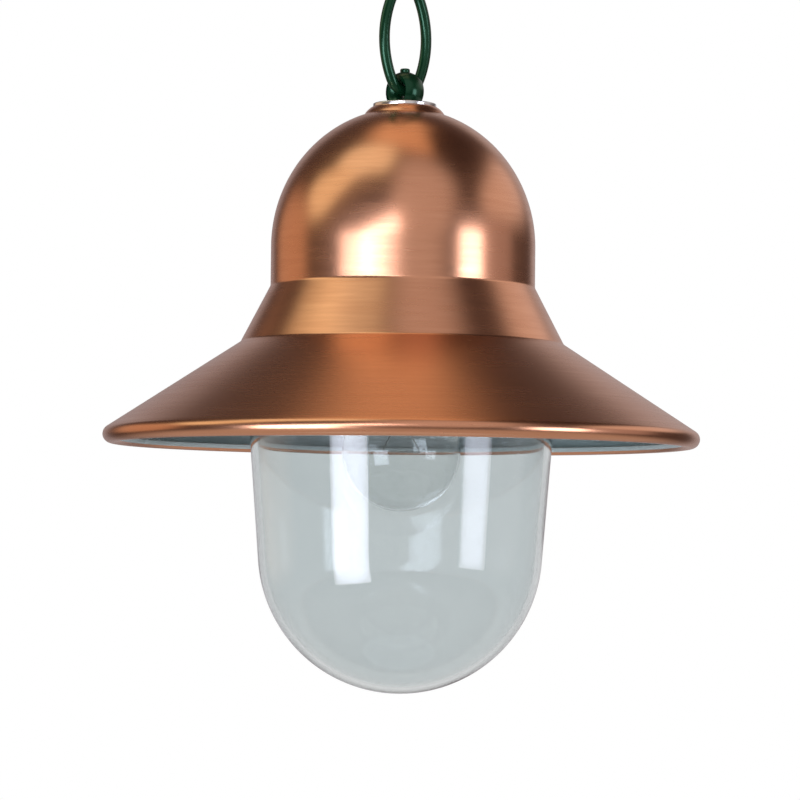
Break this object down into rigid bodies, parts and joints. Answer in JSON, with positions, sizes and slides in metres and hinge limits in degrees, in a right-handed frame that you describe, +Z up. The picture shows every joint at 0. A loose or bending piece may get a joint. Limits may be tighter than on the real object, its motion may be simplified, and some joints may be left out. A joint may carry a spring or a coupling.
{
  "type": "outdoor hanging lamp",
  "caption": "Bell-shaped spun copper hanging lamp with curled rim, screw-in clear glass dome, clear bulb, ball eye and chain link.",
  "frame": {"origin": "hang point: the inner crown of the chain link, where a hook bears", "axes": "+Z up along the lamp's axis, X in the plane of the chain link and along the eye's hole, +Y to the back with the cable grommet"},
  "size_m": [0.3, 0.3, 0.3599],
  "materials": {
    "copper": "satin spun copper outside, grey coat inside",
    "green_paint": "dark green gloss paint",
    "bright_steel": "bright turned",
    "rubber": "matt black",
    "zinc_steel": "zinc plated",
    "housing_aluminium": "satin grey",
    "porcelain": "white glaze",
    "brass": "plain",
    "lead_brown": "heat-resisting sleeve",
    "lead_blue": "heat-resisting sleeve",
    "dome_glass": "clear, slightly grey",
    "bulb_glass": "clear",
    "cap_metal": "bright",
    "black_insulator": "gloss black",
    "solder": "dull",
    "tungsten": "dark wire"
  },
  "bodies": {
    "hanger": {"chain_link": "green_paint"},
    "lamp": {"eye_bolt": "green_paint", "cap_washer": "bright_steel", "washer_seal": "rubber", "shade": "copper", "cable_grommet": "rubber", "spacer_tube": "zinc_steel", "lamp_housing": "housing_aluminium", "housing_grommet": "rubber", "clamp_washer": "zinc_steel", "lock_washer": "zinc_steel", "clamp_nut": "zinc_steel", "holder_strap": "zinc_steel", "strap_screws": "zinc_steel", "strap_nuts": "zinc_steel", "lampholder_body": "porcelain", "lampholder_screws": "zinc_steel", "lampholder_shell": "brass", "lampholder_contact": "brass", "terminal_block": "porcelain", "terminal_screws": "brass", "terminal_block_screw": "brass", "lampholder_terminals": "brass", "lead_live": "lead_brown", "lead_neutral": "lead_blue", "earth_screw": "brass", "earth_tag": "brass", "earth_nut": "brass"},
    "glass_seal": {"glass_gasket": "rubber"},
    "glass": {"glass_dome": "dome_glass"},
    "bulb_tip": {"bulb_contact": "solder"},
    "bulb": {"bulb_envelope": "bulb_glass", "bulb_cap": "cap_metal", "bulb_insulator": "black_insulator", "bulb_stem": "bulb_glass", "bulb_filament": "tungsten"}
  },
  "joints": [
    {"name": "lamp_swing", "type": "hinge", "parent": "hanger", "child": "lamp", "pos_m": [0, 0, -0.0507], "axis": [1, 0, 0], "range_deg": [-85, 85]},
    {"name": "glass_drop", "type": "slide", "parent": "lamp", "child": "glass_seal", "axis": [0, 0, -1], "range_m": [0, 0.01601]},
    {"name": "glass_turn", "type": "hinge", "parent": "glass_seal", "child": "glass", "pos_m": [0, 0, -0.20023], "axis": [0, 0, -1], "range_deg": [0, 720]},
    {"name": "bulb_drop", "type": "slide", "parent": "lamp", "child": "bulb_tip", "axis": [0, 0, -1], "range_m": [0, 0.01453]},
    {"name": "bulb_turn", "type": "hinge", "parent": "bulb_tip", "child": "bulb", "pos_m": [0, 0, -0.17023], "axis": [0, 0, -1], "range_deg": [0, 1440]}
  ],
  "couplings": [
    {"joint": "glass_drop", "follows": "glass_turn", "m_per_rad": 0.0012732},
    {"joint": "bulb_drop", "follows": "bulb_turn", "m_per_rad": 0.00057757}
  ]
}
